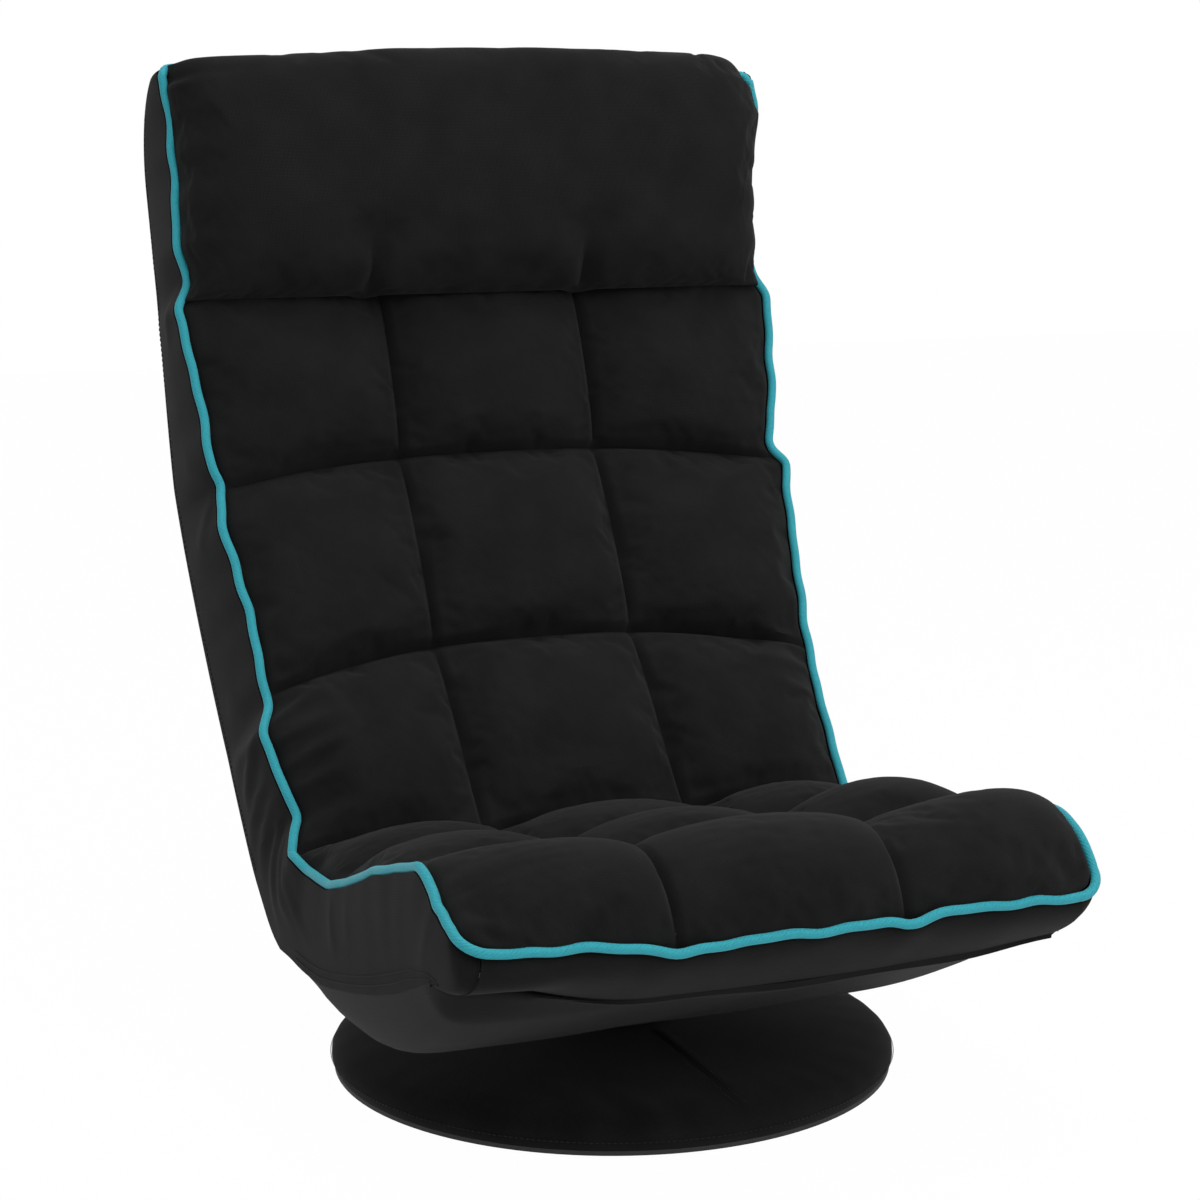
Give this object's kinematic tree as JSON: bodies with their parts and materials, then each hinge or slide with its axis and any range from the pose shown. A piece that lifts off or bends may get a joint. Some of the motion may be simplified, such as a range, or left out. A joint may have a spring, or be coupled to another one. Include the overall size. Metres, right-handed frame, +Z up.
{
  "type": "floor gaming chair",
  "caption": "Low folding gaming chair with a tufted, curved seat and back, a full-width head roll and contrast piping, turning on a round cloth-covered base.",
  "frame": {"origin": "on the floor at the swivel axis, in the middle of the base's underside", "axes": "+Z up along the swivel axis, -Y towards the front of the seat, +X across the chair"},
  "size_m": [0.5372, 0.6889, 0.7782],
  "materials": {
    "cover_cloth": "matte",
    "underside_cloth": "matte",
    "piping": "satin",
    "foam": "matte",
    "webbing": "matte",
    "base_board": "matte",
    "frame_paint": "satin",
    "bare_steel": "satin"
  },
  "bodies": {
    "base": {"base_panel": "base_board", "base_ring": "frame_paint", "base_arms": "frame_paint", "base_hub": "frame_paint", "base_cover": "cover_cloth", "swivel_lower_race": "frame_paint", "swivel_spindle": "bare_steel", "spindle_nut": "bare_steel"},
    "bearing": {"ball_cage": "bare_steel", "bearing_balls": "bare_steel"},
    "seat": {"swivel_upper_race": "frame_paint", "swivel_plate": "frame_paint", "swivel_bolts": "frame_paint", "swivel_nuts": "bare_steel", "seat_frame": "frame_paint", "seat_rear_bar": "frame_paint", "seat_bearers": "frame_paint", "seat_straps": "webbing", "seat_foam": "foam", "seat_pad": "cover_cloth", "seat_gusset_left": "cover_cloth", "seat_gusset_right": "cover_cloth", "seat_gusset_front": "cover_cloth", "seat_belly": "underside_cloth", "seat_piping": "piping", "hinge_plate_left": "bare_steel", "hinge_plate_right": "bare_steel", "hinge_cheek_left": "bare_steel", "hinge_cheek_right": "bare_steel", "pawl_springs": "bare_steel", "hinge_rivets": "bare_steel", "pawl_pins": "bare_steel", "waist_cover": "cover_cloth"},
    "pawl_left": {"pawl_left": "bare_steel"},
    "pawl_right": {"pawl_right": "bare_steel"},
    "back": {"back_frame": "frame_paint", "back_lower_bar": "frame_paint", "back_straps": "webbing", "ratchet_plate_left": "bare_steel", "ratchet_plate_right": "bare_steel", "back_foam": "foam", "back_pad": "cover_cloth", "head_roll": "cover_cloth", "back_gusset_left": "cover_cloth", "back_gusset_right": "cover_cloth", "back_rear_panel": "cover_cloth", "back_piping": "piping"}
  },
  "joints": [
    {"name": "swivel", "type": "hinge", "parent": "base", "child": "seat", "pos_m": [0, 0, 0.04275], "axis": [0, 0, 1], "continuous": true},
    {"name": "ball_travel", "type": "hinge", "parent": "base", "child": "bearing", "pos_m": [0, 0, 0.04275], "axis": [0, 0, 1], "continuous": true},
    {"name": "recline", "type": "hinge", "parent": "seat", "child": "back", "pos_m": [0, 0.062, 0.161], "axis": [-1, 0, 0], "range_deg": [-15, 60], "deforming": ["waist_cover"]},
    {"name": "pawl_left_drop", "type": "hinge", "parent": "seat", "child": "pawl_left", "pos_m": [-0.22, 0.036, 0.141], "axis": [1, 0, 0], "range_deg": [0, 6]},
    {"name": "pawl_right_drop", "type": "hinge", "parent": "seat", "child": "pawl_right", "pos_m": [0.22, 0.036, 0.141], "axis": [1, 0, 0], "range_deg": [0, 6]}
  ],
  "couplings": [
    {"joint": "ball_travel", "follows": "swivel", "ratio": 0.5},
    {"joint": "pawl_right_drop", "follows": "pawl_left_drop", "ratio": 1}
  ]
}
